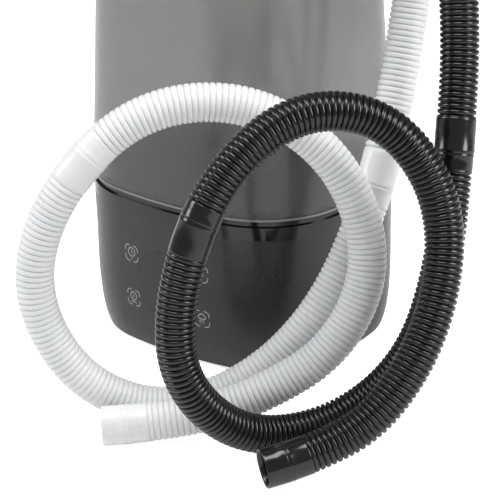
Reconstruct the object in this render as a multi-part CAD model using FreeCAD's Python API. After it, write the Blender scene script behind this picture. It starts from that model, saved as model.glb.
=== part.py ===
import FreeCAD, Part
import math
import os

# Mist humidifier: a smoky tank on a black base, with two corrugated mist hoses.
# Millimetres, +Z up, origin on the floor under the middle of the base.

V = FreeCAD.Vector

# ---------------------------------------------------------------- driving sizes
HALF_WIDTH = 120.0        # side to side, at the seam between base and tank
HALF_DEPTH = 103.5        # front to back, at the seam
SIDE_RADIUS = 312.0       # bulge of the left and right sides
FRONT_RADIUS = 334.0      # bulge of the front and back
CORNER_RADIUS = 77.0      # rounded vertical corners
SEAM_Z = 138.0            # underside of the tank
PARTING_Z = 121.4         # joint between the base shell and its trim ring
GROOVE_Z = 132.5          # bottom of the dark groove under the tank
SHELL_BOTTOM_Z = 3.0      # lower lip of the base shell
TANK_TOP_Z = 440.0        # rim that the lid sits on
TANK_TAPER = 0.0517 / HALF_WIDTH   # narrowing of the tank per mm of height
EDGE_HEIGHT = 69.0        # height of the rounded lower edge of the base
EDGE_INSET = 12.2         # how far the rounded edge pulls in at the floor
BASE_WAIST = 0.012        # slight narrowing of the base half way down
WALL = 3.0                # base shell
BASE_LEVELS = 8           # sections that shape the base's curved side
TANK_WALL = 2.6
GAP = 0.3                 # clearance between parts of different bodies

HOSE_R = 15.0             # outside of the ribs
HOSE_BORE_R = 12.6
CUFF_R = 15.6             # smooth cuffs
CUFF_LENGTH = 40.0
OUTLET_CUFF_LENGTH = 34.0
END_CUFF_LENGTH = 36.0
OUTLET_Y = 38.0           # the two outlets, front and back of the lid's middle
OUTLET_Z = 500.0          # centre line of the sideways part of the elbows
ELBOW_END_X = 22.0        # face that the hose cuff meets
STUB_R = 17.0

DISPLAY_X = -3.6          # middle of the round window and of the four touch keys
DISPLAY_Z = 65.0
DISPLAY_R = 30.0
LENS_GAP = 0.15           # hairline round the flush window
LENS_THICK = 2.4
BOARD_THICK = 1.6
KEY_X = 36.0
KEY_RISE = 20.0
SPRING_R = 4.0
SPRING_LENGTH = 3.6
PANEL_DEPTH = 12.0        # from the front to the touch board

TRIM_WALL = 6.0
NECK_INSET = 2.2          # dark groove under the tank
COVER_THICK = 3.0
COVER_GAP = 0.2
GRILLE_SLOTS = 7
GRILLE_PITCH = 6.0
GRILLE_SLOT = 3.0
GRILLE_FRONT, GRILLE_BACK = 24.0, 20.0
VENTS = 5                 # long slots in the back of the base
VENT_HALF_WIDTH = 45.0
VENT_Z = 52.0
VENT_PITCH = 9.0
VENT_HEIGHT = 4.0
CUT_DEPTH = 12.0          # how far cuts in the back reach in
CUT_OVER = 6.0

FOOT_X, FOOT_Y = 74.0, 60.0
FOOT_R = 9.0
FOOT_HEIGHT = 3.2
SCREW_SPOTS = [(-88, -24), (-88, 24), (88, -24), (88, 24), (0, -80), (0, 84)]
SCREW_HEAD_R = 3.4
SCREW_HEAD_Z = 1.2
SCREW_R = 1.6
SCREW_TOP_Z = 14.0
SCREW_HOLE_R = 1.9
BOSS_R = 4.2
BOSS_BORE_R = 1.8
BOSS_TOP_Z = 20.0

BASIN_FLOOR_Z = 96.0
BASIN_RIM_Z = 131.0
BASIN_INSET = 9.0
BASIN_WALL = 3.0
FLANGE_INSET = 6.3
VALVE_POST_R = 3.5        # lifts the tank's valve
VALVE_POST_TOP_Z = 121.0
FLOAT_POST_R = 3.0
FLOAT_POST_TOP_Z = 127.0
DUCT_R = 15.0             # blower's pipe up into the basin
DUCT_BORE_R = 12.6
DUCT_TOP_Z = 124.0
DUCT_GAP = 0.2

WELL_R = 14.0             # mist maker
WELL_BORE_R = 10.6
WELL_LIP_R = 17.0
WELL_LIP = 1.5
WELL_DEPTH = 8.0
WELL_GAP = 0.2
DISC_R = 10.5
DISC_DEPTH = 2.0
DISC_THICK = 1.2
DISC_SEAL_R = 8.0

DRIVER_Z = 70.0           # driver board under the mist maker
DRIVER = (-42, 30, -34, 26)
DRIVER_CHIP = (-30, -18, -20, -8)
CHIP_HEIGHT = 4.4
COIL_X, COIL_Y, COIL_R = 18.0, -18.0, 7.0
COIL_HEIGHT = 10.4
SINK_Z0, SINK_Z1 = 60.0, 88.0
SINK_Y0, SINK_Y1 = -30.0, 24.0
SINK_X = 34.0
SINK_PLATE = 4.0
FINS = 7
FIN_PITCH = 8.0
FIN_THICK = 2.0
FIN_LENGTH = 12.0
POWER_Z = 20.0            # power board beside the blower
POWER = (8, 84, 38, 74)
TRANSFORMER = (14, 34, 44, 64)
TRANSFORMER_TOP_Z = 40.0
CAPACITOR_X, CAPACITOR_Y, CAPACITOR_R = 46.0, 52.0, 8.0
CAPACITOR_TOP_Z = 48.0
RELAY = (60, 78, 46, 60)
RELAY_TOP_Z = 36.0

INLET_HALF_WIDTH = 19.0   # opening for the mains socket
INLET_Z0, INLET_Z1 = 24.0, 44.0
INLET_GAP = 0.3
INLET_DEPTH = 22.0
INLET_RECESS = 2.2
SOCKET_HALF_WIDTH = 12.0
SOCKET_DEPTH = 16.0
SOCKET_Z0, SOCKET_Z1 = 29.0, 39.0
PIN_X, PIN_R = 4.3, 1.2
PIN_LENGTH = 11.0

FAN_X, FAN_Y = -40.0, 46.0          # blower inside the base
FAN_Z0, FAN_Z1 = 10.0, 40.0
FAN_R = 34.0
FAN_WALL = 2.0
FAN_MOUTH_R = 22.0
FAN_OUTLET_R = 13.4
FAN_SHAFT_R = 1.5
FAN_SHAFT_GAP = 0.05
HUB_R = 8.0
ROTOR_R = 27.0
ROTOR_Z0, ROTOR_Z1 = 15.0, 34.0
ROTOR_PLATE = 2.0
ROTOR_BORE_TOP_Z = 30.0
BLADES = 18
BLADE_R0 = 19.0
BLADE_THICK = 1.4
SPIDER_LENGTH = 43.6
SPIDER_WIDTH = 4.0
SPIDER_Z0, SPIDER_Z1 = 10.2, 11.8
SHAFT_Z0, SHAFT_Z1 = 11.0, 29.5

FLOAT_X, FLOAT_Y = -62.0, -30.0     # float of the level sensor
FLOAT_R = 13.0
FLOAT_BORE_R = 3.4
FLOAT_Z0, FLOAT_Z1 = 100.0, 112.0
MAGNET_R = 7.0
MAGNET_HEIGHT = 3.0
CAP_R = 6.0
CAP_HEIGHT = 2.0
SENSOR_HALF_X, SENSOR_HALF_Y = 5.0, 9.0
SENSOR_Z = 90.0

TANK_RIM_Z = SEAM_Z + 1.6           # clear lower rim of the tank
FLOOR_Z = SEAM_Z + 3.0              # dark floor of the tank
FLOOR_THICK = 4.0
FIT_GAP = 0.02
CHIMNEY_R = 24.0                    # mist tube up the middle of the tank
CHIMNEY_WALL = 2.0
CHIMNEY_FOOT = 2.0                  # reaches this far below the seam
CHIMNEY_DROP = 6.0                  # stops this far below the tank's rim
COLLAR_EXTRA = 5.0
COLLAR_HEIGHT = 5.0
VALVE_X, VALVE_Y = 62.0, 34.0       # water valve in the tank floor
VALVE_Z0, VALVE_Z1 = 134.0, 166.0
VALVE_R = 13.0
VALVE_BORE_R = 10.6
VALVE_LAP_R = 11.0
SEAT_Z0, SEAT_Z1 = 144.0, 146.0
SEAT_R = 6.0
GUIDE_R = 3.3
GUIDE_THICK = 3.0
VALVE_FLANGE_R = 17.0
VALVE_FLANGE = 2.0
SLOTS = 4
SLOT_HALF_WIDTH = 3.0
SLOT_REACH = 20.0
SLOT_Z0, SLOT_Z1 = 149.0, 160.0
STEM_R = 3.0
STEM_Z0, STEM_Z1 = 121.4, 172.0
VALVE_DISC_R = 9.0
WASHER_Z = 150.4
VALVE_DISC_THICK = 2.0

LID_TOP_Z = 458.0
LID_EDGE = [(6.0, 0.0), (3.0, 0.8), (1.2, 2.4), (0.0, 5.5)]   # drop below the top, inset
LID_WALL = 6.0
LID_TOP_THICK = 3.0
SKIRT_INSET, SKIRT_INNER = 5.0, 7.5
SKIRT_DROP, SKIRT_RISE = 12.0, 4.0
SEAL_TOP, SEAL_HEIGHT = 4.0, 4.0
SEAL_GAP = 0.5
STUB_WALL = 2.4
STUB_HEIGHT = 8.0
BEND_R = 20.0                       # centre-line radius of the elbows
ELBOW_GAP = 0.2
TAIL_GAP = 0.1
SPIGOT_LENGTH = 18.0
SPIGOT_WALL = 1.5
CHAMBER_X, CHAMBER_Y = 30.0, 60.0   # mist chamber under the lid
CHAMBER_WALL = 2.0
CHAMBER_COLLAR = 2.8
CHAMBER_GAP = 0.6
OVER = 1.0                          # how far a cutting tool sticks out

# Hand-chosen control points of the two hoses, from outlet to free end.
PALE_ROUTE = [
    (22, 38, 500), (65, 38, 500), (108, 38, 484), (142, 36, 447), (159, 28, 390), (163, 8, 315),
    (168, -22, 240), (172, -60, 167), (160, -105, 90), (122, -146, 34), (70, -195, 10), (17, -238, 40),
    (-12, -257, 115), (2, -242, 190), (46, -195, 257), (108, -138, 264), (170, -102, 220),
    (200, -94, 138), (186, -126, 70), (140, -174, 34), (95, -216, 20), (52, -250, 17)]
BLACK_ROUTE = [
    (22, -38, 500), (75, -38, 500), (133, -37, 488), (185, -30, 449), (218, -21, 385), (231, -28, 305),
    (244, -56, 220), (255, -87, 135), (243, -114, 66), (199, -149, 18), (156, -209, 19),
    (132, -257, 80), (129, -251, 155), (146, -217, 238), (178, -159, 278), (226, -109, 262),
    (266, -95, 195), (275, -126, 115), (254, -165, 50), (221, -206, 25), (197, -238, 20)]
ARC_SHARE = 0.45          # share of the shorter run that each bend may use
PALE_JOINTS = (418.0, 943.0)     # distance along the hose to the middle of each joining cuff
BLACK_JOINTS = (409.0, 919.0)

os.makedirs("parts", exist_ok=True)


# ---------------------------------------------------------------- helpers
def save(name, shape):
    shape.exportStep("parts/" + name + ".step")


def cyl(x, y, z0, z1, r):
    return Part.makeCylinder(r, z1 - z0, V(x, y, z0))


def ring(x, y, z0, z1, r_out, r_in):
    return cyl(x, y, z0, z1, r_out).cut(cyl(x, y, z0 - 1, z1 + 1, r_in))


def box(x0, x1, y0, y1, z0, z1):
    return Part.makeBox(x1 - x0, y1 - y0, z1 - z0, V(x0, y0, z0))


def corner_centre():
    """Centre of the +X +Y corner arc, tangent to the side arc and the front arc."""
    side = V(HALF_WIDTH - SIDE_RADIUS, 0, 0)
    front = V(0, HALF_DEPTH - FRONT_RADIUS, 0)
    r1 = SIDE_RADIUS - CORNER_RADIUS
    r2 = FRONT_RADIUS - CORNER_RADIUS
    span = front.sub(side)
    d = span.Length
    along = (r1 * r1 - r2 * r2 + d * d) / (2 * d)
    up = math.sqrt(r1 * r1 - along * along)
    u = span.multiply(1 / d)
    return side + u * along + V(-u.y, u.x, 0) * up


def section(z, inset=0.0, scale=1.0):
    """Closed outline of eight tangent arcs: bulged sides and round corners."""
    c = corner_centre()
    side = V(HALF_WIDTH - SIDE_RADIUS, 0, 0)
    front = V(0, HALF_DEPTH - FRONT_RADIUS, 0)
    to_side = c.sub(side).normalize()
    to_front = c.sub(front).normalize()
    middle = (to_side + to_front).normalize()
    r = CORNER_RADIUS - inset
    a = c + to_side * r
    m = c + middle * r
    b = c + to_front * r
    x_tip = V(HALF_WIDTH - inset, 0, 0)
    y_tip = V(0, HALF_DEPTH - inset, 0)

    def put(p, sx, sy):
        return V(p.x * sx * scale, p.y * sy * scale, z)

    arcs = []
    arcs.append(Part.Arc(put(a, 1, -1), put(x_tip, 1, 1), put(a, 1, 1)))
    arcs.append(Part.Arc(put(a, 1, 1), put(m, 1, 1), put(b, 1, 1)))
    arcs.append(Part.Arc(put(b, 1, 1), put(y_tip, 1, 1), put(b, -1, 1)))
    arcs.append(Part.Arc(put(b, -1, 1), put(m, -1, 1), put(a, -1, 1)))
    arcs.append(Part.Arc(put(a, -1, 1), put(x_tip, -1, 1), put(a, -1, -1)))
    arcs.append(Part.Arc(put(a, -1, -1), put(m, -1, -1), put(b, -1, -1)))
    arcs.append(Part.Arc(put(b, -1, -1), put(y_tip, 1, -1), put(b, 1, -1)))
    arcs.append(Part.Arc(put(b, 1, -1), put(m, 1, -1), put(a, 1, -1)))
    return Part.Wire([arc.toShape() for arc in arcs])


def loft(wires, ruled=True):
    return Part.makeLoft(wires, True, ruled)


def slab(z0, z1, inset=0.0, scale=1.0):
    """Straight-walled block with the body's outline."""
    return loft([section(z0, inset, scale), section(z1, inset, scale)])


def tank_scale(z):
    return 1.0 - TANK_TAPER * (z - SEAM_Z)


def tank_slab(z0, z1, inset=0.0):
    return loft([section(z0, inset, tank_scale(z0)), section(z1, inset, tank_scale(z1))])


def base_inset(z):
    """How far the base's outside pulls in at a height below the seam."""
    depth = (SEAM_Z - z) / SEAM_Z
    waist = HALF_WIDTH * BASE_WAIST * math.sin(math.pi * depth)
    if z >= EDGE_HEIGHT:
        return waist
    drop = (EDGE_HEIGHT - z) / EDGE_HEIGHT
    return waist + EDGE_INSET * (1.0 - math.sqrt(1.0 - drop * drop))


def base_solid(z0, z1, inset, steps):
    levels = [z0 + (z1 - z0) * i / steps for i in range(steps + 1)]
    return loft([section(z, base_inset(z) + inset) for z in levels], False)


# ---------------------------------------------------------------- base
def front_round(r):
    """Round bar that runs from the middle of the base out through the front."""
    return Part.makeCylinder(r, HALF_DEPTH, V(DISPLAY_X, -HALF_DEPTH / 2, DISPLAY_Z), V(0, -1, 0))


def base_wall(thick):
    outer = base_solid(SHELL_BOTTOM_Z, PARTING_Z, 0.0, BASE_LEVELS)
    return outer.cut(base_solid(SHELL_BOTTOM_Z - OVER, PARTING_Z + OVER, thick, BASE_LEVELS))


def back_cut(half_width, z0, z1):
    return box(-half_width, half_width, HALF_DEPTH - CUT_DEPTH, HALF_DEPTH + CUT_OVER, z0, z1)


def base_shell():
    shell = base_wall(WALL).cut(front_round(DISPLAY_R))
    shell = shell.cut(back_cut(INLET_HALF_WIDTH, INLET_Z0, INLET_Z1))
    for i in range(VENTS):
        z = VENT_Z + i * VENT_PITCH
        shell = shell.cut(back_cut(VENT_HALF_WIDTH, z, z + VENT_HEIGHT))
    return shell


def display_lens():
    """Flush round window: the shell's own surface inside the circular cut-out."""
    return base_wall(LENS_THICK).common(front_round(DISPLAY_R - LENS_GAP))


def base_trim_ring():
    lower = base_solid(PARTING_Z, GROOVE_Z, 0.0, 2)
    neck = slab(GROOVE_Z, SEAM_Z - GAP, NECK_INSET)
    hollow = slab(PARTING_Z - OVER, SEAM_Z + OVER, TRIM_WALL)
    return lower.fuse(neck).cut(hollow)


def bottom_cover():
    z0 = SHELL_BOTTOM_Z + COVER_GAP
    z1 = z0 + COVER_THICK
    plate = slab(z0, z1, EDGE_INSET)
    for x, y in SCREW_SPOTS:
        plate = plate.cut(cyl(x, y, z0 - OVER, z1 + OVER, SCREW_HOLE_R))
    for i in range(GRILLE_SLOTS):
        x0 = FAN_X + (i - (GRILLE_SLOTS - 1) / 2) * GRILLE_PITCH - GRILLE_SLOT / 2
        slot = box(x0, x0 + GRILLE_SLOT, FAN_Y - GRILLE_FRONT, FAN_Y + GRILLE_BACK, z0 - OVER, z1 + OVER)
        plate = plate.cut(slot)
    return plate


def rubber_feet():
    feet = [cyl(sx * FOOT_X, sy * FOOT_Y, 0, FOOT_HEIGHT, FOOT_R) for sx in (-1, 1) for sy in (-1, 1)]
    return Part.makeCompound(feet)


def bottom_screws():
    screws = []
    for x, y in SCREW_SPOTS:
        head = cyl(x, y, SCREW_HEAD_Z, FOOT_HEIGHT, SCREW_HEAD_R)
        shank = cyl(x, y, FOOT_HEIGHT, SCREW_TOP_Z, SCREW_R)
        screws.append(head.fuse(shank).removeSplitter())
    return Part.makeCompound(screws)


def screw_bosses():
    z0 = SHELL_BOTTOM_Z + 2 * COVER_GAP + COVER_THICK
    return Part.makeCompound([ring(x, y, z0, BOSS_TOP_Z, BOSS_R, BOSS_BORE_R) for x, y in SCREW_SPOTS])


def basin():
    """Water basin that closes the base: seat of the mist maker, air pipe and two posts."""
    floor_top = BASIN_FLOOR_Z + BASIN_WALL
    inner_inset = BASIN_INSET + BASIN_WALL
    hollow = slab(floor_top, BASIN_RIM_Z + OVER, inner_inset)
    tray = slab(BASIN_FLOOR_Z, BASIN_RIM_Z, BASIN_INSET).cut(hollow)
    flange = slab(BASIN_RIM_Z - BASIN_WALL, BASIN_RIM_Z, FLANGE_INSET).cut(hollow)
    tray = tray.fuse(flange)
    tray = tray.cut(cyl(0, 0, BASIN_FLOOR_Z - OVER, floor_top + OVER, WELL_R + WELL_GAP))
    tray = tray.cut(cyl(FAN_X, FAN_Y, BASIN_FLOOR_Z - OVER, floor_top + OVER, DUCT_BORE_R))
    tray = tray.fuse(ring(FAN_X, FAN_Y, BASIN_FLOOR_Z, DUCT_TOP_Z, DUCT_R, DUCT_BORE_R))
    root = floor_top - OVER
    tray = tray.fuse(cyl(VALVE_X, VALVE_Y, root, VALVE_POST_TOP_Z, VALVE_POST_R))
    tray = tray.fuse(cyl(FLOAT_X, FLOAT_Y, root, FLOAT_POST_TOP_Z, FLOAT_POST_R))
    return tray.removeSplitter()


def transducer_ring():
    floor_top = BASIN_FLOOR_Z + BASIN_WALL
    body = ring(0, 0, BASIN_FLOOR_Z - WELL_DEPTH, floor_top, WELL_R, WELL_BORE_R)
    lip = ring(0, 0, floor_top, floor_top + WELL_LIP, WELL_LIP_R, WELL_BORE_R)
    return body.fuse(lip).removeSplitter()


def transducer_disc():
    z0 = BASIN_FLOOR_Z - DISC_DEPTH
    return cyl(0, 0, z0, z0 + DISC_THICK, DISC_R)


def transducer_seal():
    return ring(0, 0, BASIN_FLOOR_Z - DISC_DEPTH + DISC_THICK, BASIN_FLOOR_Z + OVER, DISC_R, DISC_SEAL_R)


def driver_board():
    top = DRIVER_Z + BOARD_THICK
    board = box(*DRIVER, DRIVER_Z, top)
    chip = box(*DRIVER_CHIP, top, top + CHIP_HEIGHT)
    coil = cyl(COIL_X, COIL_Y, top, top + COIL_HEIGHT, COIL_R)
    return board.fuse(chip).fuse(coil).removeSplitter()


def heat_sink():
    fin_x = SINK_X + SINK_PLATE
    sink = box(SINK_X, fin_x, SINK_Y0, SINK_Y1, SINK_Z0, SINK_Z1)
    for i in range(FINS):
        y = SINK_Y0 + i * FIN_PITCH
        sink = sink.fuse(box(fin_x, fin_x + FIN_LENGTH, y, y + FIN_THICK, SINK_Z0, SINK_Z1))
    return sink.removeSplitter()


def power_board():
    top = POWER_Z + BOARD_THICK
    board = box(*POWER, POWER_Z, top)
    board = board.fuse(box(*TRANSFORMER, top, TRANSFORMER_TOP_Z))
    board = board.fuse(cyl(CAPACITOR_X, CAPACITOR_Y, top, CAPACITOR_TOP_Z, CAPACITOR_R))
    return board.fuse(box(*RELAY, top, RELAY_TOP_Z)).removeSplitter()


def power_inlet():
    half = INLET_HALF_WIDTH - INLET_GAP
    body = box(-half, half, HALF_DEPTH - INLET_DEPTH, HALF_DEPTH - INLET_RECESS,
               INLET_Z0 + INLET_GAP, INLET_Z1 - INLET_GAP)
    socket = box(-SOCKET_HALF_WIDTH, SOCKET_HALF_WIDTH, HALF_DEPTH - SOCKET_DEPTH, HALF_DEPTH,
                 SOCKET_Z0, SOCKET_Z1)
    body = body.cut(socket)
    foot_y = HALF_DEPTH - SOCKET_DEPTH - OVER
    middle_z = (SOCKET_Z0 + SOCKET_Z1) / 2
    for x in (-PIN_X, PIN_X):
        body = body.fuse(Part.makeCylinder(PIN_R, PIN_LENGTH, V(x, foot_y, middle_z), V(0, 1, 0)))
    return body.removeSplitter()


def fan_part(z0, z1, r):
    return cyl(FAN_X, FAN_Y, z0, z1, r)


def fan_housing():
    """Round chamber with an inlet below and an outlet up to the basin."""
    case = fan_part(FAN_Z0, FAN_Z1, FAN_R)
    case = case.cut(fan_part(FAN_Z0 + FAN_WALL, FAN_Z1 - FAN_WALL, FAN_R - FAN_WALL))
    case = case.cut(fan_part(FAN_Z0 - OVER, FAN_Z0 + FAN_WALL + OVER, FAN_MOUTH_R))
    return case.cut(fan_part(FAN_Z1 - FAN_WALL - OVER, FAN_Z1 + OVER, FAN_OUTLET_R))


def fan_rotor():
    rotor = fan_part(ROTOR_Z0, ROTOR_Z1, HUB_R)
    rotor = rotor.fuse(fan_part(ROTOR_Z1 - ROTOR_PLATE, ROTOR_Z1, ROTOR_R))
    half = BLADE_THICK / 2
    for i in range(BLADES):
        blade = box(FAN_X + BLADE_R0, FAN_X + ROTOR_R, FAN_Y - half, FAN_Y + half,
                    ROTOR_Z0, ROTOR_Z1 - OVER)
        blade.rotate(V(FAN_X, FAN_Y, 0), V(0, 0, 1), i * 360 / BLADES)
        rotor = rotor.fuse(blade)
    bore = fan_part(ROTOR_Z0 - OVER, ROTOR_BORE_TOP_Z, FAN_SHAFT_R + FAN_SHAFT_GAP)
    return rotor.cut(bore).removeSplitter()


def fan_motor():
    """Pin that the rotor turns on, on a spider across the air inlet."""
    spider = box(FAN_X - SPIDER_LENGTH / 2, FAN_X + SPIDER_LENGTH / 2,
                 FAN_Y - SPIDER_WIDTH / 2, FAN_Y + SPIDER_WIDTH / 2, SPIDER_Z0, SPIDER_Z1)
    return spider.fuse(fan_part(SHAFT_Z0, SHAFT_Z1, FAN_SHAFT_R)).removeSplitter()


def air_duct():
    return ring(FAN_X, FAN_Y, FAN_Z1 + DUCT_GAP, BASIN_FLOOR_Z - DUCT_GAP, DUCT_R, DUCT_BORE_R)


def display_board():
    y0 = -HALF_DEPTH + PANEL_DEPTH
    half = KEY_X + 6
    return box(DISPLAY_X - half, DISPLAY_X + half, y0, y0 + BOARD_THICK,
               DISPLAY_Z - DISPLAY_R, DISPLAY_Z + DISPLAY_R - 2)


def touch_springs():
    springs = []
    for sx in (-1, 1):
        for sz in (-1, 1):
            foot = V(DISPLAY_X + sx * KEY_X, -HALF_DEPTH + PANEL_DEPTH - 0.2, DISPLAY_Z + sz * KEY_RISE)
            springs.append(Part.makeCylinder(SPRING_R, SPRING_LENGTH, foot, V(0, -1, 0)))
    return Part.makeCompound(springs)


# ---------------------------------------------------------------- float and sensor
def float_ring():
    return ring(FLOAT_X, FLOAT_Y, FLOAT_Z0, FLOAT_Z1, FLOAT_R, FLOAT_BORE_R)


def float_magnet():
    return ring(FLOAT_X, FLOAT_Y, FLOAT_Z1, FLOAT_Z1 + MAGNET_HEIGHT, MAGNET_R, FLOAT_BORE_R)


def float_cap():
    return cyl(FLOAT_X, FLOAT_Y, FLOAT_POST_TOP_Z, FLOAT_POST_TOP_Z + CAP_HEIGHT, CAP_R)


def level_sensor():
    return box(FLOAT_X - SENSOR_HALF_X, FLOAT_X + SENSOR_HALF_X,
               FLOAT_Y - SENSOR_HALF_Y, FLOAT_Y + SENSOR_HALF_Y, SENSOR_Z, BASIN_FLOOR_Z)


# ---------------------------------------------------------------- tank
def tank_ring(z0, z1):
    return tank_slab(z0, z1).cut(tank_slab(z0 - OVER, z1 + OVER, TANK_WALL))


def tank_floor():
    top = FLOOR_Z + FLOOR_THICK
    plate = tank_slab(FLOOR_Z, top, TANK_WALL + FIT_GAP)
    plate = plate.cut(cyl(0, 0, FLOOR_Z - OVER, top + OVER, CHIMNEY_R + FIT_GAP))
    return plate.cut(cyl(VALVE_X, VALVE_Y, FLOOR_Z - OVER, top + OVER, VALVE_R + FIT_GAP))


def mist_chimney():
    bore = CHIMNEY_R - CHIMNEY_WALL
    foot = FLOOR_Z + FLOOR_THICK
    tube = ring(0, 0, SEAM_Z - CHIMNEY_FOOT, TANK_TOP_Z - CHIMNEY_DROP, CHIMNEY_R, bore)
    collar = ring(0, 0, foot, foot + COLLAR_HEIGHT, CHIMNEY_R + COLLAR_EXTRA, bore)
    return tube.fuse(collar).removeSplitter()


def valve_ring(z0, z1, r_out, r_in):
    return ring(VALVE_X, VALVE_Y, z0, z1, r_out, r_in)


def valve_body():
    foot = FLOOR_Z + FLOOR_THICK
    body = valve_ring(VALVE_Z0, VALVE_Z1, VALVE_R, VALVE_BORE_R)
    body = body.fuse(valve_ring(SEAT_Z0, SEAT_Z1, VALVE_LAP_R, SEAT_R))
    body = body.fuse(valve_ring(VALVE_Z1 - GUIDE_THICK, VALVE_Z1, VALVE_LAP_R, GUIDE_R))
    body = body.fuse(valve_ring(foot, foot + VALVE_FLANGE, VALVE_FLANGE_R, VALVE_BORE_R))
    for i in range(SLOTS):
        slot = box(VALVE_X, VALVE_X + SLOT_REACH, VALVE_Y - SLOT_HALF_WIDTH, VALVE_Y + SLOT_HALF_WIDTH,
                   SLOT_Z0, SLOT_Z1)
        slot.rotate(V(VALVE_X, VALVE_Y, 0), V(0, 0, 1), (i + 0.5) * 360 / SLOTS)
        body = body.cut(slot)
    return body.removeSplitter()


def valve_plunger():
    stem = cyl(VALVE_X, VALVE_Y, STEM_Z0, STEM_Z1, STEM_R)
    z0 = WASHER_Z + VALVE_DISC_THICK
    return stem.fuse(cyl(VALVE_X, VALVE_Y, z0, z0 + VALVE_DISC_THICK, VALVE_DISC_R)).removeSplitter()


def valve_washer():
    return valve_ring(WASHER_Z, WASHER_Z + VALVE_DISC_THICK, VALVE_DISC_R, STEM_R)


# ---------------------------------------------------------------- lid and outlets
def lid_scale():
    return tank_scale(TANK_TOP_Z)


def lid_block(z0, z1, inset):
    return slab(z0, z1, inset, lid_scale())


def lid_shell():
    edge = [(TANK_TOP_Z + GAP, 0.0)] + [(LID_TOP_Z - drop, inset) for drop, inset in LID_EDGE]
    body = loft([section(z, inset, lid_scale()) for z, inset in edge])
    body = body.cut(lid_block(TANK_TOP_Z - OVER, LID_TOP_Z - LID_TOP_THICK, LID_WALL))
    z0 = TANK_TOP_Z - SKIRT_DROP
    z1 = TANK_TOP_Z + SKIRT_RISE
    skirt = lid_block(z0, z1, SKIRT_INSET).cut(lid_block(z0 - OVER, z1 + OVER, SKIRT_INNER))
    body = body.fuse(skirt)
    for y in (-OUTLET_Y, OUTLET_Y):
        body = body.fuse(cyl(0, y, LID_TOP_Z - 2 * OVER, LID_TOP_Z + STUB_HEIGHT, STUB_R))
        body = body.cut(cyl(0, y, LID_TOP_Z - STUB_HEIGHT, LID_TOP_Z + STUB_HEIGHT + OVER, STUB_R - STUB_WALL))
    return body.removeSplitter()


def lid_seal():
    z1 = TANK_TOP_Z - SEAL_TOP
    z0 = z1 - SEAL_HEIGHT
    outer = lid_block(z0, z1, TANK_WALL + SEAL_GAP)
    return outer.cut(lid_block(z0 - OVER, z1 + OVER, SKIRT_INSET))


def mist_manifold():
    """Chamber under the lid that shares the mist between the two outlets."""
    z0 = TANK_TOP_Z + OVER
    z1 = LID_TOP_Z - LID_TOP_THICK
    chamber = box(-CHAMBER_X, CHAMBER_X, -CHAMBER_Y, CHAMBER_Y, z0, z1)
    inner_x = CHAMBER_X - CHAMBER_WALL
    inner_y = CHAMBER_Y - CHAMBER_WALL
    hollow = box(-inner_x, inner_x, -inner_y, inner_y, z0 + CHAMBER_WALL, z1 + OVER)
    foot = TANK_TOP_Z - SKIRT_DROP
    collar = cyl(0, 0, foot, z0 + OVER, CHIMNEY_R + CHAMBER_COLLAR)
    bore = cyl(0, 0, foot - OVER, z0 + CHAMBER_WALL, CHIMNEY_R + CHAMBER_GAP)
    return chamber.cut(hollow).fuse(collar).cut(bore).removeSplitter()


def elbow(y):
    """Quarter bend from an outlet stub to the hose, with a spigot for the cuff."""
    z_turn = OUTLET_Z - BEND_R
    seat = LID_TOP_Z + STUB_HEIGHT + ELBOW_GAP
    spigot_r = HOSE_BORE_R - TAIL_GAP

    def pipe(r, foot_z, end_x):
        leg = cyl(0, y, foot_z, z_turn, r)
        disc = Part.Face(Part.Wire(Part.Circle(V(0, y, z_turn), V(0, 0, 1), r).toShape()))
        bend = disc.revolve(V(BEND_R, y, z_turn), V(0, 1, 0), 90)
        out = Part.makeCylinder(r, end_x - BEND_R, V(BEND_R, y, OUTLET_Z), V(1, 0, 0))
        return leg.fuse(bend).fuse(out)

    body = pipe(CUFF_R, seat, ELBOW_END_X)
    body = body.fuse(cyl(0, y, LID_TOP_Z - 2 * OVER, seat + OVER, STUB_R - STUB_WALL - TAIL_GAP))
    body = body.fuse(Part.makeCylinder(spigot_r, SPIGOT_LENGTH, V(ELBOW_END_X, y, OUTLET_Z), V(1, 0, 0)))
    body = body.cut(pipe(spigot_r - SPIGOT_WALL, LID_TOP_Z - LID_TOP_THICK, ELBOW_END_X + SPIGOT_LENGTH + OVER))
    return body.removeSplitter()


def outlet_seal(y):
    z0 = LID_TOP_Z + STUB_HEIGHT
    return ring(0, y, z0, z0 + ELBOW_GAP, STUB_R - 2 * OVER, STUB_R - STUB_WALL)


# ---------------------------------------------------------------- hoses
def route_edges(points):
    """Straight runs joined by tangent arcs; returns the edges and the arc radii."""
    pts = [V(*p) for p in points]
    edges = []
    radii = []
    start = pts[0]
    for before, corner, after in zip(pts, pts[1:], pts[2:]):
        into = corner.sub(before)
        away = after.sub(corner)
        cut_back = ARC_SHARE * min(into.Length, away.Length)
        half_turn = into.getAngle(away) / 2
        radius = cut_back / math.tan(half_turn)
        a = corner.sub(V(into).normalize() * cut_back)
        b = corner.add(V(away).normalize() * cut_back)
        inward = a.add(b).multiply(0.5).sub(corner).normalize()
        middle = corner + inward * (radius / math.cos(half_turn) - radius)
        edges.append(Part.LineSegment(start, a).toShape())
        edges.append(Part.Arc(a, middle, b).toShape())
        radii.append(radius)
        start = b
    edges.append(Part.LineSegment(start, pts[-1]).toShape())
    return edges, radii


def stretch(edges, s0, s1):
    """The part of the path between two distances from its start."""
    kept = []
    travelled = 0.0
    for edge in edges:
        length = edge.Length
        lo = max(s0 - travelled, 0.0)
        hi = min(s1 - travelled, length)
        if hi - lo > 0.01:
            first = edge.getParameterByLength(lo)
            last = edge.getParameterByLength(hi)
            kept.append(edge.Curve.toShape(first, last))
        travelled += length
    return kept


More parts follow.
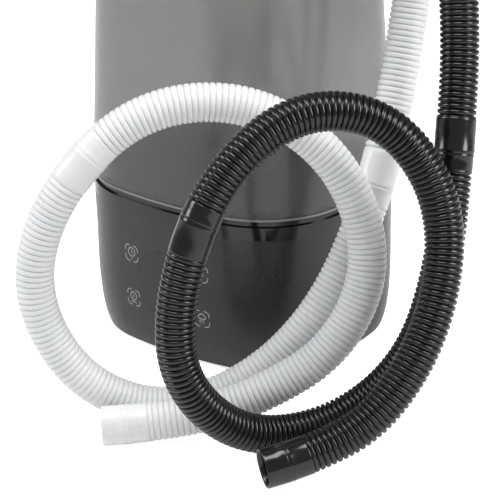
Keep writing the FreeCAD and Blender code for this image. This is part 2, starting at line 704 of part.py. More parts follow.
def tube(edges, r_out, r_in):
    start = edges[0].firstVertex().Point
    heading = edges[0].tangentAt(edges[0].FirstParameter)
    path = Part.Wire(edges)
    shapes = []
    for r in (r_out, r_in):
        loop = Part.Wire(Part.Circle(V(start), heading, r).toShape())
        shapes.append(path.makePipeShell([loop], True, False))
    return shapes[0].cut(shapes[1])


def hose(prefix, points, joints):
    edges, radii = route_edges(points)
    length = sum(edge.Length for edge in edges)
    print(prefix, "length", round(length), "radii", [round(r) for r in radii])
    marks = [0.0, OUTLET_CUFF_LENGTH]
    for joint in joints:
        marks += [joint - CUFF_LENGTH / 2, joint + CUFF_LENGTH / 2]
    marks += [length - END_CUFF_LENGTH, length]
    names = ["outlet_cuff", "upper_tube", "upper_joint", "middle_tube", "lower_joint",
             "lower_tube", "end_cuff"]
    for name, s0, s1 in zip(names, marks, marks[1:]):
        smooth = name.endswith("cuff") or name.endswith("joint")
        r_out = CUFF_R if smooth else HOSE_R
        piece = tube(stretch(edges, s0, s1), r_out, HOSE_BORE_R)
        expected = math.pi * (r_out ** 2 - HOSE_BORE_R ** 2) * (s1 - s0)
        print("  ", name, "volume ratio", round(piece.Volume / expected, 4))
        save(prefix + "_" + name, piece)


# ---------------------------------------------------------------- build
save("base_shell", base_shell())
save("base_trim_ring", base_trim_ring())
save("display_lens", display_lens())
save("bottom_cover", bottom_cover())
save("rubber_feet", rubber_feet())
save("bottom_screws", bottom_screws())
save("screw_bosses", screw_bosses())
save("basin", basin())
save("transducer_ring", transducer_ring())
save("transducer_disc", transducer_disc())
save("transducer_seal", transducer_seal())
save("driver_board", driver_board())
save("heat_sink", heat_sink())
save("power_board", power_board())
save("power_inlet", power_inlet())
save("fan_housing", fan_housing())
save("fan_rotor", fan_rotor())
save("fan_motor", fan_motor())
save("air_duct", air_duct())
save("display_board", display_board())
save("touch_springs", touch_springs())
save("float_ring", float_ring())
save("float_magnet", float_magnet())
save("float_cap", float_cap())
save("level_sensor", level_sensor())
save("tank_shell", tank_ring(TANK_RIM_Z, TANK_TOP_Z))
save("tank_lower_rim", tank_ring(SEAM_Z, TANK_RIM_Z))
save("tank_floor", tank_floor())
save("mist_chimney", mist_chimney())
save("valve_body", valve_body())
save("valve_plunger", valve_plunger())
save("valve_washer", valve_washer())
save("lid_shell", lid_shell())
save("lid_seal", lid_seal())
save("mist_manifold", mist_manifold())
for side, y in (("front", -OUTLET_Y), ("rear", OUTLET_Y)):
    save(side + "_elbow", elbow(y))
    save(side + "_outlet_seal", outlet_seal(y))
hose("pale_hose", PALE_ROUTE, PALE_JOINTS)
hose("black_hose", BLACK_ROUTE, BLACK_JOINTS)
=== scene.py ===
import math

import bpy
import numpy as np
from mathutils import Matrix, Vector
from mathutils.bvhtree import BVHTree


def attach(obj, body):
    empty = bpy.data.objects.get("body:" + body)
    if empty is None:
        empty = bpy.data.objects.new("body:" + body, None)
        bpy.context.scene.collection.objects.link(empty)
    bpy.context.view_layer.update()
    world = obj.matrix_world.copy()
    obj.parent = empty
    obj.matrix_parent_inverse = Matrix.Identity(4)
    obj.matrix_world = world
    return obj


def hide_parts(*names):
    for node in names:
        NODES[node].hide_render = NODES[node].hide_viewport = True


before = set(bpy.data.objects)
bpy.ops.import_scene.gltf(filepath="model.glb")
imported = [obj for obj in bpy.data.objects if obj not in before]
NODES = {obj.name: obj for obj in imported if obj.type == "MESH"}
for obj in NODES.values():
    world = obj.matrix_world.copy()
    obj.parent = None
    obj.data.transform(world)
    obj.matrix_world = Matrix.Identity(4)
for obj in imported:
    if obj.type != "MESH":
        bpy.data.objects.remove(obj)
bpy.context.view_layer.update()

# Mist humidifier: smoky tank, black base with touch keys, one pale and one black corrugated hose.
# Metres, +Z up, the front faces -Y and the hoses leave towards +X.

MM = 0.001

# ---------------------------------------------------------------- routes and sizes
PALE_ROUTE = [
    (0.022, 0.038, 0.500), (0.065, 0.038, 0.500), (0.108, 0.038, 0.484), (0.142, 0.036, 0.447),
    (0.159, 0.028, 0.390), (0.163, 0.008, 0.315), (0.168, -0.022, 0.240), (0.172, -0.060, 0.167),
    (0.160, -0.105, 0.090), (0.122, -0.146, 0.034), (0.070, -0.195, 0.010), (0.017, -0.238, 0.040),
    (-0.012, -0.257, 0.115), (0.002, -0.242, 0.190), (0.046, -0.195, 0.257), (0.108, -0.138, 0.264),
    (0.170, -0.102, 0.220), (0.200, -0.094, 0.138), (0.186, -0.126, 0.070), (0.140, -0.174, 0.034),
    (0.095, -0.216, 0.020), (0.052, -0.250, 0.017)]
BLACK_ROUTE = [
    (0.022, -0.038, 0.500), (0.075, -0.038, 0.500), (0.133, -0.037, 0.488), (0.185, -0.030, 0.449),
    (0.218, -0.021, 0.385), (0.231, -0.028, 0.305), (0.244, -0.056, 0.220), (0.255, -0.087, 0.135),
    (0.243, -0.114, 0.066), (0.199, -0.149, 0.018), (0.156, -0.209, 0.019), (0.132, -0.257, 0.080),
    (0.129, -0.251, 0.155), (0.146, -0.217, 0.238), (0.178, -0.159, 0.278), (0.226, -0.109, 0.262),
    (0.266, -0.095, 0.195), (0.275, -0.126, 0.115), (0.254, -0.165, 0.050), (0.221, -0.206, 0.025),
    (0.197, -0.238, 0.020)]
PALE_JOINTS = (0.418, 0.943)      # distance along the hose to the middle of each joining cuff
BLACK_JOINTS = (0.409, 0.919)
HOSE_R = 15.0 * MM
BORE_R = 13.9 * MM                # wider mouth inside the end cuff
BORE_STEP = 1.7 * MM
SOCK_R = 14.5 * MM                # plain end of the hose that sits in a cuff
JOINT_LENGTH = 40 * MM
OUTLET_CUFF_LENGTH = 34 * MM
END_CUFF_LENGTH = 36 * MM
RIB_PITCH = 4.45 * MM
PALE_RIBS = (1.5 * MM, 0.15)       # depth of the grooves, and how round the ribs are
BLACK_RIBS = (2.4 * MM, 0.22)
RIB_PHASES = (0.0, 0.07, 0.15, 0.30, 0.50, 0.70, 0.85, 0.93)   # rings over one rib, closer at the groove
GROOVE_WIDTH = 0.10               # share of a rib
SIDES = 36                        # corners round a hose
CUFF_SIDES = 64
END_CUFF_SIDES = 72
CUFF_LAP = 0.6 * MM               # ribs reach this far under a cuff
MOUTH_STEP = 0.3 * MM             # the hose ends this far inside its end cuff
LINER_R = 14.4 * MM               # inside of the outlet and end cuffs

PANEL_X = -3.6 * MM               # middle of the round window and of the keys
KEY_X = 36 * MM
KEY_LOW_Z = 45 * MM
KEY_HIGH_Z = 85 * MM
INK_WIDTH = 0.95 * MM
INK_LIFT = 0.12 * MM
INK_THICKNESS = 0.06 * MM
FRONT_OF_ALL_Y = -0.3             # rays towards the panel start here
NEAR_PANEL_Y = -0.1

FLOOR_SIZE = 14
FLOOR_TINT = (0.9, 0.9, 0.9, 1)
FLOOR_ROUGHNESS = 0.9
FLOOR_GLOW = 0.16                 # glow that lights the object
FLOOR_SEEN_GLOW = 0.6             # further glow on rays that end in the camera
SKY_TINT = (0.97, 0.98, 1.0, 1)
SKY_STRENGTH = 0.36
SOFT_BOXES = [                    # name, place, aim, width, height, watts
    ("left_softbox", (-1.6, -1.3, 1.5), (0.05, -0.1, 0.2), 0.9, 1.3, 25),
    ("right_softbox", (1.9, 0.4, 1.3), (0.1, -0.1, 0.2), 0.8, 1.4, 33),
    ("top_softbox", (0.2, -0.5, 2.2), (0.1, -0.1, 0.2), 1.2, 0.8, 26)]
CAMERA_PLACE = (1.22716, -1.58689, 0.93895)
CAMERA_HEADING = 37.58            # degrees from straight ahead of the front
CAMERA_DROP = 23.62               # degrees below level
CAMERA_ROLL = -1.12
CAMERA_LENS = 187.2
SENSOR_WIDTH = 36.0
FAR_CLIP = 50


# ---------------------------------------------------------------- small helpers
COLOUR_A, COLOUR_B = 6, 7         # the colour sockets of a Mix node
COLOUR_RESULT = 2


def socket(tree, name, kind, value=None, out=False):
    made = tree.interface.new_socket(name=name, in_out="OUTPUT" if out else "INPUT", socket_type=kind)
    if value is not None:
        made.default_value = value
    return made


def node(tree, kind, **values):
    made = tree.nodes.new(kind)
    for key, value in values.items():
        setattr(made, key, value)
    return made


def link(tree, a, b):
    tree.links.new(a, b)


def feed(tree, given, target):
    """Links a socket to the target, or sets the target to a plain value."""
    if hasattr(given, "is_output"):
        link(tree, given, target)
    else:
        target.default_value = given


def start_group(name, inputs, outputs):
    tree = bpy.data.node_groups.new(name, "ShaderNodeTree")
    for label, kind, value in inputs:
        socket(tree, label, kind, value)
    for label, kind in outputs:
        socket(tree, label, kind, out=True)
    return tree, node(tree, "NodeGroupInput"), node(tree, "NodeGroupOutput")


def noise(tree, vector, scale, detail=3.0, rough=0.5):
    made = node(tree, "ShaderNodeTexNoise")
    made.inputs["Detail"].default_value = detail
    made.inputs["Roughness"].default_value = rough
    link(tree, vector, made.inputs["Vector"])
    feed(tree, scale, made.inputs["Scale"])
    return made.outputs["Fac"]


def remap(tree, value, low, high, to_low, to_high):
    made = node(tree, "ShaderNodeMapRange", clamp=True)
    link(tree, value, made.inputs["Value"])
    for label, given in (("From Min", low), ("From Max", high), ("To Min", to_low), ("To Max", to_high)):
        feed(tree, given, made.inputs[label])
    return made.outputs["Result"]


def maths(tree, operation, a, b=0.0):
    made = node(tree, "ShaderNodeMath", operation=operation)
    for i, given in enumerate((a, b)):
        feed(tree, given, made.inputs[i])
    return made.outputs[0]


def blend_colour(tree, factor, a, b):
    made = node(tree, "ShaderNodeMix", data_type="RGBA")
    link(tree, factor, made.inputs["Factor"])
    feed(tree, a, made.inputs[COLOUR_A])
    feed(tree, b, made.inputs[COLOUR_B])
    return made.outputs[COLOUR_RESULT]


# ---------------------------------------------------------------- shared surface effects
def moulded_skin_group():
    """Moulded plastic: cloudy tint, uneven gloss and a fine orange-peel texture."""
    tree, given, put = start_group(
        "moulded_skin",
        [("Dark Tint", "NodeSocketColor", (0.02, 0.02, 0.02, 1)),
         ("Light Tint", "NodeSocketColor", (0.03, 0.03, 0.03, 1)),
         ("Smoothest", "NodeSocketFloat", 0.2), ("Roughest", "NodeSocketFloat", 0.3),
         ("Cloud Scale", "NodeSocketFloat", 14.0), ("Grain Scale", "NodeSocketFloat", 1400.0),
         ("Grain Depth", "NodeSocketFloat", 0.05)],
        [("Color", "NodeSocketColor"), ("Roughness", "NodeSocketFloat"), ("Normal", "NodeSocketVector")])
    where = node(tree, "ShaderNodeTexCoord").outputs["Object"]
    cloud = noise(tree, where, given.outputs["Cloud Scale"], 4.0, 0.55)
    patch = noise(tree, where, 90.0, 5.0, 0.6)
    tint = blend_colour(tree, remap(tree, cloud, 0.35, 0.65, 0.0, 1.0), given.outputs["Dark Tint"],
                        given.outputs["Light Tint"])
    mixed = maths(tree, "ADD", maths(tree, "MULTIPLY", cloud, 0.6), maths(tree, "MULTIPLY", patch, 0.4))
    gloss = remap(tree, mixed, 0.38, 0.62, given.outputs["Smoothest"], given.outputs["Roughest"])
    grain = noise(tree, where, given.outputs["Grain Scale"], 2.0, 0.5)
    peel = noise(tree, where, 240.0, 2.0, 0.4)
    height = maths(tree, "ADD", grain, maths(tree, "MULTIPLY", peel, 1.5))
    bump = node(tree, "ShaderNodeBump")
    bump.inputs["Distance"].default_value = 0.0002
    link(tree, given.outputs["Grain Depth"], bump.inputs["Strength"])
    link(tree, height, bump.inputs["Height"])
    link(tree, tint, put.inputs["Color"])
    link(tree, gloss, put.inputs["Roughness"])
    link(tree, bump.outputs["Normal"], put.inputs["Normal"])
    return tree


def settled_dust_group():
    """Fine dust that lies on faces that look up, in uneven patches."""
    tree, given, put = start_group(
        "settled_dust",
        [("Color", "NodeSocketColor", (0, 0, 0, 1)), ("Roughness", "NodeSocketFloat", 0.3),
         ("Amount", "NodeSocketFloat", 0.1)],
        [("Color", "NodeSocketColor"), ("Roughness", "NodeSocketFloat")])
    where = node(tree, "ShaderNodeTexCoord").outputs["Object"]
    up = node(tree, "ShaderNodeSeparateXYZ")
    link(tree, node(tree, "ShaderNodeNewGeometry").outputs["Normal"], up.inputs[0])
    facing = remap(tree, up.outputs["Z"], 0.1, 0.95, 0.15, 1.0)
    specks = remap(tree, noise(tree, where, 1500.0, 4.0, 0.6), 0.62, 0.78, 0.0, 1.0)
    film = remap(tree, noise(tree, where, 30.0, 4.0, 0.6), 0.3, 0.7, 0.2, 1.0)
    cover = maths(tree, "MULTIPLY", maths(tree, "ADD", specks, maths(tree, "MULTIPLY", film, 0.6)), facing)
    mask = maths(tree, "MINIMUM", maths(tree, "MULTIPLY", cover, given.outputs["Amount"]), 1.0)
    tint = blend_colour(tree, mask, given.outputs["Color"], (0.42, 0.41, 0.39, 1))
    rough = maths(tree, "ADD", given.outputs["Roughness"], maths(tree, "MULTIPLY", mask, 0.4))
    link(tree, tint, put.inputs["Color"])
    link(tree, rough, put.inputs["Roughness"])
    return tree


def handling_scuffs_group():
    """Hairline rubs from handling: raises the roughness along thin streaks."""
    tree, given, put = start_group(
        "handling_scuffs",
        [("Roughness", "NodeSocketFloat", 0.2), ("Amount", "NodeSocketFloat", 0.1)],
        [("Roughness", "NodeSocketFloat")])
    where = node(tree, "ShaderNodeTexCoord").outputs["Object"]
    total = None
    for turn, scale in ((0.4, (900.0, 60.0, 60.0)), (1.9, (60.0, 60.0, 1100.0))):
        place = node(tree, "ShaderNodeMapping")
        place.inputs["Rotation"].default_value = (turn, 0.3 * turn, turn)
        place.inputs["Scale"].default_value = scale
        link(tree, where, place.inputs["Vector"])
        streak = remap(tree, noise(tree, place.outputs["Vector"], 1.0, 2.0, 0.5), 0.66, 0.80, 0.0, 1.0)
        total = streak if total is None else maths(tree, "ADD", total, streak)
    raised = maths(tree, "MULTIPLY", total, given.outputs["Amount"])
    rough = maths(tree, "ADD", given.outputs["Roughness"], raised)
    link(tree, rough, put.inputs["Roughness"])
    return tree


MOULDED_SKIN = moulded_skin_group()
SETTLED_DUST = settled_dust_group()
HANDLING_SCUFFS = handling_scuffs_group()


# ---------------------------------------------------------------- materials
def use_group(tree, group, **values):
    made = node(tree, "ShaderNodeGroup", node_tree=group)
    for label, value in values.items():
        made.inputs[label.replace("_", " ")].default_value = value
    return made


def grey(value, warmth=0.0, alpha=1.0):
    return (value * (1 + warmth), value, value * (1 - warmth), alpha)


def plastic(name, dark, light, smooth, rough, grain=0.05, dust=0.1, scuffs=0.08, cloud=14.0,
            grain_scale=1400.0, **direct):
    """Moulded plastic with dust and hairline rubs; direct values go on the shader's own sockets."""
    mat = bpy.data.materials.new(name)
    mat.use_nodes = True
    tree = mat.node_tree
    shader = tree.nodes["Principled BSDF"]
    skin = use_group(tree, MOULDED_SKIN, Dark_Tint=dark, Light_Tint=light, Smoothest=smooth, Roughest=rough,
                     Cloud_Scale=cloud, Grain_Scale=grain_scale, Grain_Depth=grain)
    rubs = use_group(tree, HANDLING_SCUFFS, Amount=scuffs)
    film = use_group(tree, SETTLED_DUST, Amount=dust)
    link(tree, skin.outputs["Roughness"], rubs.inputs["Roughness"])
    link(tree, rubs.outputs["Roughness"], film.inputs["Roughness"])
    link(tree, skin.outputs["Color"], film.inputs["Color"])
    link(tree, film.outputs["Color"], shader.inputs["Base Color"])
    link(tree, film.outputs["Roughness"], shader.inputs["Roughness"])
    link(tree, skin.outputs["Normal"], shader.inputs["Normal"])
    for label, value in direct.items():
        shader.inputs[label.replace("_", " ")].default_value = value
    return mat


def metal(name, tint, smooth, rough):
    return plastic(name, grey(tint * 0.9), grey(tint), smooth, rough, grain=0.08, dust=0.05, Metallic=1.0)


BASE_BLACK = plastic("base_black", grey(0.006), grey(0.009), 0.24, 0.32, grain=0.05, dust=0.012, scuffs=0.03)
TRIM_BLACK = plastic("trim_black", grey(0.004), grey(0.006), 0.10, 0.16, grain=0.02, dust=0.01, scuffs=0.03)
WINDOW_BLACK = plastic("window_black", grey(0.004), grey(0.006), 0.17, 0.22, grain=0.03, dust=0.01,
                       scuffs=0.03)
INNER_GREY = plastic("inner_grey", grey(0.05), grey(0.07), 0.42, 0.55, grain=0.2, dust=0.05)
INNER_WHITE = plastic("inner_white", grey(0.62, 0.02), grey(0.70, 0.02), 0.40, 0.50, grain=0.1, dust=0.02)
FLOOR_BLACK = plastic("tank_floor_black", grey(0.008), grey(0.012), 0.34, 0.44, grain=0.1, dust=0.02)
RUBBER = plastic("feet_rubber", grey(0.016), grey(0.028), 0.60, 0.78, grain=0.5, dust=0.2, grain_scale=900.0)
SEAL_RUBBER = plastic("seal_rubber", grey(0.30), grey(0.36), 0.50, 0.62, grain=0.2, dust=0.02)
STEEL = metal("steel", 0.62, 0.22, 0.34)
ALUMINIUM = metal("aluminium", 0.72, 0.28, 0.42)
BOARD_GREEN = plastic("board_green", (0.01, 0.07, 0.03, 1), (0.02, 0.10, 0.04, 1), 0.30, 0.40, grain=0.1)
SMOKY_TANK = plastic("smoky_tank", grey(0.46, 0.012), grey(0.52, 0.008), 0.22, 0.26, grain=0.015, dust=0.0,
                     scuffs=0.02, cloud=5.0, Transmission_Weight=0.94, IOR=1.46)
MIST_TUBE = plastic("mist_tube", grey(0.92, 0.005), grey(0.95, 0.005), 0.30, 0.36, grain=0.015, dust=0.0,
                    scuffs=0.0, Transmission_Weight=0.97, IOR=1.16)
# Lighter plastic for the tank's lower rim: a painted highlight for the bright line along the tank's bottom
# edge.
RIM_PAINTED_HIGHLIGHT = plastic("clear_rim_painted_highlight", grey(0.22), grey(0.28), 0.14, 0.20, grain=0.02, dust=0.0, scuffs=0.02,
                    Transmission_Weight=0.3)
PALE_HOSE = plastic("pale_hose_plastic", (0.77, 0.78, 0.79, 1), (0.83, 0.835, 0.84, 1), 0.28, 0.38,
                    grain=0.03, dust=0.004, scuffs=0.03, cloud=22.0, Transmission_Weight=0.12, IOR=1.45)
PALE_CUFF = plastic("pale_cuff_plastic", (0.79, 0.80, 0.81, 1), (0.84, 0.845, 0.85, 1), 0.20, 0.28,
                    grain=0.02, dust=0.004, scuffs=0.03, cloud=22.0, Transmission_Weight=0.12, IOR=1.45)
BLACK_HOSE = plastic("black_hose_plastic", grey(0.003), grey(0.005), 0.17, 0.24, grain=0.03, dust=0.006,
                     scuffs=0.03, cloud=22.0)
BLACK_CUFF = plastic("black_cuff_plastic", grey(0.003), grey(0.005), 0.14, 0.20, grain=0.02, dust=0.006,
                     scuffs=0.03, cloud=22.0)
KEY_INK = plastic("key_ink", grey(0.24), grey(0.30), 0.40, 0.50, grain=0.1, dust=0.0)

FINISHES = {
    "base_shell": BASE_BLACK, "base_trim_ring": TRIM_BLACK, "display_lens": WINDOW_BLACK,
    "bottom_cover": INNER_GREY, "rubber_feet": RUBBER, "bottom_screws": STEEL, "screw_bosses": INNER_GREY,
    "basin": INNER_GREY, "transducer_ring": INNER_GREY, "transducer_disc": STEEL,
    "transducer_seal": SEAL_RUBBER, "driver_board": BOARD_GREEN, "heat_sink": ALUMINIUM,
    "power_board": BOARD_GREEN, "power_inlet": INNER_GREY, "fan_housing": INNER_GREY,
    "fan_rotor": INNER_WHITE, "fan_motor": STEEL, "air_duct": INNER_GREY, "display_board": BOARD_GREEN,
    "touch_springs": STEEL, "float_ring": INNER_WHITE, "float_magnet": STEEL, "float_cap": INNER_WHITE,
    "level_sensor": INNER_GREY, "tank_shell": SMOKY_TANK, "tank_lower_rim": RIM_PAINTED_HIGHLIGHT,
    "tank_floor": FLOOR_BLACK, "mist_chimney": MIST_TUBE, "valve_body": INNER_WHITE,
    "valve_plunger": INNER_WHITE, "valve_washer": SEAL_RUBBER, "lid_shell": BASE_BLACK,
    "lid_seal": SEAL_RUBBER, "mist_manifold": INNER_GREY, "front_elbow": TRIM_BLACK,
    "rear_elbow": TRIM_BLACK, "front_outlet_seal": SEAL_RUBBER, "rear_outlet_seal": SEAL_RUBBER}


def finish_frame():
    for name, material in FINISHES.items():
        part = NODES[name]
        if not part.material_slots:
            part.data.materials.append(material)
        for held in part.material_slots:
            held.material = material


# ---------------------------------------------------------------- hoses
class Centreline:
    """Smooth line of a hose, with evenly carried cross-section frames."""

    def __init__(self, name, route):
        data = bpy.data.curves.new(name, "CURVE")
        data.dimensions = "3D"
        data.resolution_u = 24
        spline = data.splines.new("NURBS")
        spline.points.add(len(route) - 1)
        for point, place in zip(spline.points, route):
            point.co = (*place, 1.0)
        spline.order_u = 3
        spline.use_endpoint_u = True
        holder = bpy.data.objects.new(name, data)
        bpy.context.scene.collection.objects.link(holder)
        bpy.context.view_layer.update()
        mesh = bpy.data.meshes.new_from_object(holder.evaluated_get(bpy.context.evaluated_depsgraph_get()))
        self.points = np.array([v.co[:] for v in mesh.vertices])
        bpy.data.meshes.remove(mesh)
        bpy.data.objects.remove(holder)
        bpy.data.curves.remove(data)
        steps = np.linalg.norm(np.diff(self.points, axis=0), axis=1)
        self.along = np.concatenate([[0.0], np.cumsum(steps)])
        self.length = float(self.along[-1])
        heading = np.gradient(self.points, self.along, axis=0)
        self.heading = heading / np.linalg.norm(heading, axis=1)[:, None]
        side = np.cross(self.heading[0], (0.0, 0.0, 1.0))
        side /= np.linalg.norm(side)
        carried = []
        for h in self.heading:
            side = side - h * (side @ h)
            side = side / np.linalg.norm(side)
            carried.append(side)
        self.side = np.array(carried)

    def at(self, distances):
        """Centres and two cross-section directions at the given distances."""
        def read(table):
            return np.stack([np.interp(distances, self.along, table[:, k]) for k in range(3)], axis=1)

        centre = read(self.points)
        h = read(self.heading)
        h /= np.linalg.norm(h, axis=1)[:, None]
        a = read(self.side)
        a -= h * (a * h).sum(1)[:, None]
        a /= np.linalg.norm(a, axis=1)[:, None]
        return centre, a, np.cross(h, a)


def sweep(name, line, profile, material, sides=SIDES):
    """Closed band of rings along the line; profile is a loop of (distance, radius)."""
    distances = np.array([p[0] for p in profile])
    radii = np.array([p[1] for p in profile])
    centre, a, b = line.at(np.clip(distances, 0.0, line.length))
    turn = np.arange(sides) * 2 * math.pi / sides
    ring = a[:, None, :] * np.cos(turn)[None, :, None] + b[:, None, :] * np.sin(turn)[None, :, None]
    verts = (centre[:, None, :] + ring * radii[:, None, None]).reshape(-1, 3)
    count = len(profile)
    row = np.arange(count)[:, None] * sides
    nxt = ((np.arange(count) + 1) % count)[:, None] * sides
    col = np.arange(sides)[None, :]
    col2 = (col + 1) % sides
    faces = np.stack([row + col, row + col2, nxt + col2, nxt + col], axis=2).reshape(-1, 4)
    mesh = bpy.data.meshes.new(name)
    mesh.from_pydata(verts.tolist(), [], faces.tolist())
    mesh.materials.append(material)
    mesh.shade_smooth()
    mesh.validate()
    piece = bpy.data.objects.new(name, mesh)
    bpy.context.scene.collection.objects.link(piece)
    return piece


def rib_radius(phase, depth, roundness):
    """Radius over one rib: a rounded crest and a narrow groove at phase 0."""
    off = min(phase, 1 - phase)
    groove = math.exp(-(off / GROOVE_WIDTH) ** 2)
    swell = 0.5 + 0.5 * math.cos(2 * math.pi * phase)
    return HOSE_R - depth * ((1 - roundness) * groove + roundness * swell)


def hose_profile(line, plain, depth, roundness):
    """Outer ribs from one end to the other, then the smooth bore back."""
    outer = []
    ribs = int(line.length / RIB_PITCH)
    pitch = line.length / ribs
    for i in range(ribs):
        for phase in RIB_PHASES:
            s = (i + phase) * pitch
            inside = any(lo <= s <= hi for lo, hi in plain)
            outer.append((s, SOCK_R if inside else rib_radius(phase, depth, roundness)))
    outer.append((line.length - MOUTH_STEP, SOCK_R))
    bore = [(line.length - MOUTH_STEP, BORE_R)]
    for i in range(ribs - 1, 0, -2):
        bore.append((i * pitch, BORE_R - BORE_STEP * (i * pitch < line.length - END_CUFF_LENGTH)))
    bore.append((0.0, BORE_R - BORE_STEP))
    outer[0] = (0.0, SOCK_R)
    return outer + bore


def cuff_loop(s0, s1, shape, inner):
    """Loop of (distance, radius) for a cuff: shape lists (mm from s0, mm radius) over the outside."""
    outer = [(s0 + at * MM, radius * MM) for at, radius in shape]
    return outer + [(s1, inner), (s0, inner)]


def joining_cuff(name, line, middle, material):
    s0 = middle - JOINT_LENGTH / 2
    shape = [(0, 14.6), (0.3, 15.0), (1.0, 15.2), (1.6, 15.25), (10, 15.25), (23.6, 15.3), (24.2, 15.55),
             (25.6, 15.55), (26.2, 15.25), (26.8, 15.1), (27.4, 15.1), (28.0, 15.4), (28.6, 15.4),
             (29.2, 15.05), (34, 15.0), (38.6, 15.0), (39.4, 14.9), (40, 14.6)]
    return sweep(name, line, cuff_loop(s0, s0 + JOINT_LENGTH, shape, SOCK_R), material, CUFF_SIDES)


def end_cuff(name, line, material):
    s0 = line.length - END_CUFF_LENGTH
    shape = [(0, 14.6), (0.3, 15.0), (1.0, 15.1), (14.5, 15.1), (15.1, 15.4), (16.1, 15.45), (16.7, 15.15),
             (17.6, 15.1), (18.2, 15.4), (19.4, 15.5), (20.0, 15.3), (27, 15.3), (33, 15.4), (35.0, 15.5),
             (35.5, 15.45), (35.85, 15.25), (36.0, 14.95), (35.9, 14.6), (35.6, 14.4)]
    loop = [(s0 + at * MM, radius * MM) for at, radius in shape] + [(s0, LINER_R)]
    return sweep(name, line, loop, material, END_CUFF_SIDES)


def outlet_cuff(name, line, material):
    shape = [(0.0, 14.9), (0.3, 15.4), (0.9, 15.6), (4, 15.6), (4.6, 15.3), (5.4, 15.3), (6, 15.55),
             (24, 15.45), (32.6, 15.3), (33.6, 15.1), (34, 14.6)]
    loop = cuff_loop(0.0, OUTLET_CUFF_LENGTH, shape, LINER_R)
    return sweep(name, line, loop, material, CUFF_SIDES)


def build_hose(colour, route, joints, ribs, hose_material, cuff_material):
    """One ribbed hose with its four smooth cuffs, in place of its plain tubes."""
    line = Centreline(colour + "_line", route)
    half = JOINT_LENGTH / 2 - CUFF_LAP
    plain = [(0.0, OUTLET_CUFF_LENGTH - CUFF_LAP)]
    plain += [(middle - half, middle + half) for middle in joints]
    plain.append((line.length - END_CUFF_LENGTH + CUFF_LAP, line.length))
    prefix = colour + "_hose"
    tube = sweep(prefix, line, hose_profile(line, plain, *ribs), hose_material)
    cuffs = [outlet_cuff(prefix + "_outlet_sleeve", line, cuff_material),
             joining_cuff(prefix + "_upper_sleeve", line, joints[0], cuff_material),
             joining_cuff(prefix + "_lower_sleeve", line, joints[1], cuff_material),
             end_cuff(prefix + "_end_sleeve", line, cuff_material)]
    stands_for = ["_outlet_cuff", "_upper_joint", "_lower_joint", "_end_cuff"]
    for piece, node_name in zip(cuffs, stands_for):
        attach(piece, "lid")
        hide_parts(prefix + node_name)
    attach(tube, "lid")
    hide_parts(prefix + "_upper_tube", prefix + "_middle_tube", prefix + "_lower_tube")


# ---------------------------------------------------------------- touch keys
def arc(cx, cy, r, start, end, steps=14):
    turns = [math.radians(start + (end - start) * i / steps) for i in range(steps + 1)]
    return [(cx + r * math.cos(t), cy + r * math.sin(t)) for t in turns]


def corner_brackets():
    """Four rounded corners round a key, open in the middle of each side."""
    strokes = []
    half = 7.0
    r = 3.6
    leg = 1.4
    for sx in (-1, 1):
        for sy in (-1, 1):
            curve = arc(half - r, half - r, r, 0, 90)
            line = [(half, half - r - leg)] + curve + [(half - r - leg, half)]
            strokes.append([(sx * x, sy * y) for x, y in line])
    return strokes


def clock_mark():
    hands = [(0, 3.4), (0, 1.2), (1.7, 0.4)]
    return [arc(0, 1.2, 3.8, 0, 360, 28), hands, [(-0.6, -4.6), (0.6, -4.6)]]


def power_mark():
    wave = [(-3.0, -3.8), (-1.2, -4.3), (1.2, -3.8), (3.0, -4.3)]
    return [arc(0, 1.4, 3.4, 0, 360, 28), [(0, 2.8), (0, 0.2)], wave]


def mist_mark():
    cloud = arc(-1.7, 1.6, 1.7, 100, 290, 12)
    cloud += arc(1.9, 1.5, 1.6, -100, 60, 10)
    cloud += arc(0.1, 2.6, 2.0, 30, 165, 12)
    drops = [[(x, -1.2), (x - 0.8, -2.9)] for x in (-1.6, 0.2, 2.0)]
    dots = [[(x, -4.3), (x + 0.7, -4.3)] for x in (-2.0, 0.8)]
    return [cloud] + drops + dots


def droplet_mark():
    body = arc(0, -0.6, 2.6, -215, 35, 20)
    return [[(0, 4.4)] + body[::-1] + [(0, 4.4)], arc(0, -0.6, 1.3, 200, 270, 6)]


def ribbon(points, width):
    """Both edges of a flat stroke, with mitred bends."""
    pts = [Vector(p) for p in points]
    closed = (pts[0] - pts[-1]).length < 1e-6
    left = []
    right = []
    last = len(pts) - 1
    for i, p in enumerate(pts):
        before = pts[i - 1] if i else (pts[last - 1] if closed else p)
        after = pts[i + 1] if i < last else (pts[1] if closed else p)
        run = (after - before).normalized()
        across = Vector((-run.y, run.x)) * (width / 2)
        left.append(p + across)
        right.append(p - across)
    return left, right


def key_ink(name, strokes, x0, z0, surface):
    """Printed mark: thin strokes laid on the curved front of the base."""
    verts = []
    faces = []
    for stroke in strokes:
        left, right = ribbon([(x * MM, y * MM) for x, y in stroke], INK_WIDTH)
        first = len(verts)
        for a, b in zip(left, right):
            for p in (a, b):
                origin = Vector((x0 + p.x, FRONT_OF_ALL_Y, z0 + p.y))
                hit, normal = surface.ray_cast(origin, Vector((0, 1, 0)))[:2]
                if hit is None:
                    hit, normal = surface.find_nearest(Vector((origin.x, NEAR_PANEL_Y, origin.z)))[:2]
                verts.append(hit + normal * INK_LIFT)
        for i in range(len(left) - 1):
            k = first + 2 * i
            faces.append((k, k + 1, k + 3, k + 2))
    mesh = bpy.data.meshes.new(name)
    mesh.from_pydata(verts, [], faces)
    mesh.materials.append(KEY_INK)
    piece = bpy.data.objects.new(name, mesh)
    bpy.context.scene.collection.objects.link(piece)
    thick = piece.modifiers.new("film", "SOLIDIFY")
    thick.thickness = INK_THICKNESS
    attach(piece, "base")


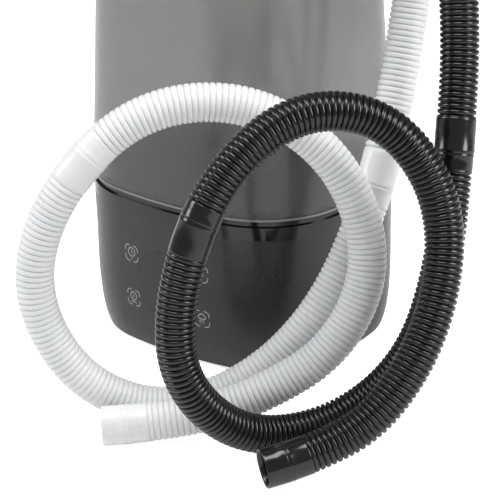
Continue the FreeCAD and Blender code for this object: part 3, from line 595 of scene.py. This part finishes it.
def touch_keys():
    shell = NODES["base_shell"]
    bpy.context.view_layer.update()
    surface = BVHTree.FromObject(shell, bpy.context.evaluated_depsgraph_get())
    marks = {"timer": (-KEY_X, KEY_HIGH_Z, clock_mark), "power": (-KEY_X, KEY_LOW_Z, power_mark),
             "humidity": (KEY_X, KEY_HIGH_Z, droplet_mark), "mist": (KEY_X, KEY_LOW_Z, mist_mark)}
    for name, (x, z, mark) in marks.items():
        key_ink("key_" + name, corner_brackets() + mark(), PANEL_X + x, z, surface)


# ---------------------------------------------------------------- room, lights and camera
def floor():
    bpy.ops.mesh.primitive_plane_add(size=FLOOR_SIZE, location=(0, 0, 0))
    plane = bpy.context.object
    plane.name = "floor"
    mat = bpy.data.materials.new("pale_floor")
    mat.use_nodes = True
    shader = mat.node_tree.nodes["Principled BSDF"]
    shader.inputs["Base Color"].default_value = FLOOR_TINT
    shader.inputs["Roughness"].default_value = FLOOR_ROUGHNESS
    shader.inputs["Emission Color"].default_value = (1, 1, 1, 1)
    seen = node(mat.node_tree, "ShaderNodeLightPath").outputs["Is Camera Ray"]
    seen_glow = maths(mat.node_tree, "MULTIPLY", seen, FLOOR_SEEN_GLOW)
    glow = maths(mat.node_tree, "ADD", seen_glow, FLOOR_GLOW)
    link(mat.node_tree, glow, shader.inputs["Emission Strength"])
    plane.data.materials.append(mat)


def soft_box(name, place, aim, width, height, power):
    light = bpy.data.lights.new(name, "AREA")
    light.shape = "RECTANGLE"
    light.size = width
    light.size_y = height
    light.energy = power
    lamp = bpy.data.objects.new(name, light)
    lamp.location = place
    lamp.rotation_euler = (Vector(aim) - Vector(place)).to_track_quat("-Z", "Y").to_euler()
    bpy.context.scene.collection.objects.link(lamp)


def studio():
    world = bpy.data.worlds.new("studio")
    world.use_nodes = True
    sky = world.node_tree.nodes["Background"]
    sky.inputs["Color"].default_value = SKY_TINT
    sky.inputs["Strength"].default_value = SKY_STRENGTH
    bpy.context.scene.world = world
    for light in SOFT_BOXES:
        soft_box(*light)


def camera():
    data = bpy.data.cameras.new("camera")
    data.lens = CAMERA_LENS
    data.sensor_width = SENSOR_WIDTH
    data.clip_end = FAR_CLIP
    eye = bpy.data.objects.new("camera", data)
    turn = Matrix.Rotation(math.radians(CAMERA_HEADING), 4, "Z")
    tilt = Matrix.Rotation(math.radians(90 - CAMERA_DROP), 4, "X")
    roll = Matrix.Rotation(math.radians(CAMERA_ROLL), 4, "Z")
    eye.matrix_world = Matrix.Translation(CAMERA_PLACE) @ turn @ tilt @ roll
    bpy.context.scene.collection.objects.link(eye)
    bpy.context.scene.camera = eye


# ---------------------------------------------------------------- build
finish_frame()
build_hose("pale", PALE_ROUTE, PALE_JOINTS, PALE_RIBS, PALE_HOSE, PALE_CUFF)
build_hose("black", BLACK_ROUTE, BLACK_JOINTS, BLACK_RIBS, BLACK_HOSE, BLACK_CUFF)
touch_keys()
floor()
studio()
camera()
bpy.context.scene.view_settings.view_transform = "Standard"
